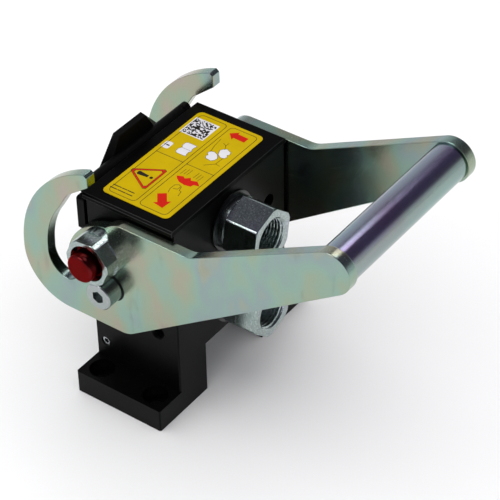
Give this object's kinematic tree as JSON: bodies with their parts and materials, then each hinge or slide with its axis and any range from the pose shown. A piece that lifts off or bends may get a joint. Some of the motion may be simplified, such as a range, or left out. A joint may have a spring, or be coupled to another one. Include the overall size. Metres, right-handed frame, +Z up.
{
  "type": "hydraulic multi-coupling plate, fixed half",
  "caption": "Fixed half of a two-line hydraulic multi-coupler: portal body, hexagon hose ports, dust cover and a cam-hook locking lever with a push-button lock.",
  "frame": {"origin": "centre of the four-bolt foot pattern, on the underside of the feet", "axes": "+X along the lever's pivot axis, away from the lock button; +Y out of the mating face, opposite the hose ports; +Z up, away from the mounting surface"},
  "size_m": [0.1343, 0.1936, 0.1509],
  "materials": {
    "black_anodised": "satin",
    "label": "satin",
    "zinc_plate": "satin",
    "zinc_tube": "polished",
    "zinc_bright": "satin",
    "steel_dark": "satin",
    "steel_plain": "satin",
    "bronze": "satin",
    "polymer_black": "satin",
    "red_anodised": "gloss",
    "rubber_black": "matt"
  },
  "bodies": {
    "base": {"body_block": "black_anodised", "top_cover": "black_anodised", "cover_screws": "steel_dark", "warning_label": "label", "upper_coupling_body": "zinc_bright", "lower_coupling_body": "zinc_bright", "valve_guides": "steel_plain", "upper_valve_spring": "steel_plain", "lower_valve_spring": "steel_plain", "face_seals": "rubber_black", "retaining_rings": "steel_dark", "guide_bushes": "bronze", "thrust_washers": "polymer_black", "pivot_screws": "zinc_bright", "hinge_pin": "steel_plain", "cover_spring": "steel_plain", "grub_screws": "zinc_bright"},
    "lever": {"lever_plate_left": "zinc_plate", "lever_plate_right": "zinc_plate", "handle_tube": "zinc_tube", "handle_spigots": "steel_plain", "pivot_bushes": "polymer_black", "lock_housing": "zinc_bright", "lock_spring": "steel_plain"},
    "lock": {"lock_button": "red_anodised", "lock_pin": "steel_plain"},
    "dust_door": {"dust_cover": "black_anodised", "cover_seal": "rubber_black"},
    "poppet_upper": {"upper_poppet": "zinc_bright"},
    "poppet_lower": {"lower_poppet": "zinc_bright"}
  },
  "joints": [
    {"name": "lever_hinge", "type": "hinge", "parent": "base", "child": "lever", "pos_m": [0, 0.008, 0.0707], "axis": [-1, 0, 0], "range_deg": [0, 90]},
    {"name": "lock_button_slide", "type": "slide", "parent": "lever", "child": "lock", "axis": [1, 0, 0], "range_m": [0, 0.003], "stiffness_N_per_m": 1500, "deforming": ["lock_spring"]},
    {"name": "dust_cover_hinge", "type": "hinge", "parent": "base", "child": "dust_door", "pos_m": [0, 0.0308, 0.1141], "axis": [1, 0, 0], "range_deg": [0, 80], "stiffness_Nm_per_rad": 0.08, "springref_deg": -34.38},
    {"name": "upper_poppet_slide", "type": "slide", "parent": "base", "child": "poppet_upper", "axis": [0, -1, 0], "range_m": [0, 0.007], "stiffness_N_per_m": 3000, "deforming": ["upper_valve_spring"]},
    {"name": "lower_poppet_slide", "type": "slide", "parent": "base", "child": "poppet_lower", "axis": [0, -1, 0], "range_m": [0, 0.007], "stiffness_N_per_m": 3000, "deforming": ["lower_valve_spring"]}
  ]
}
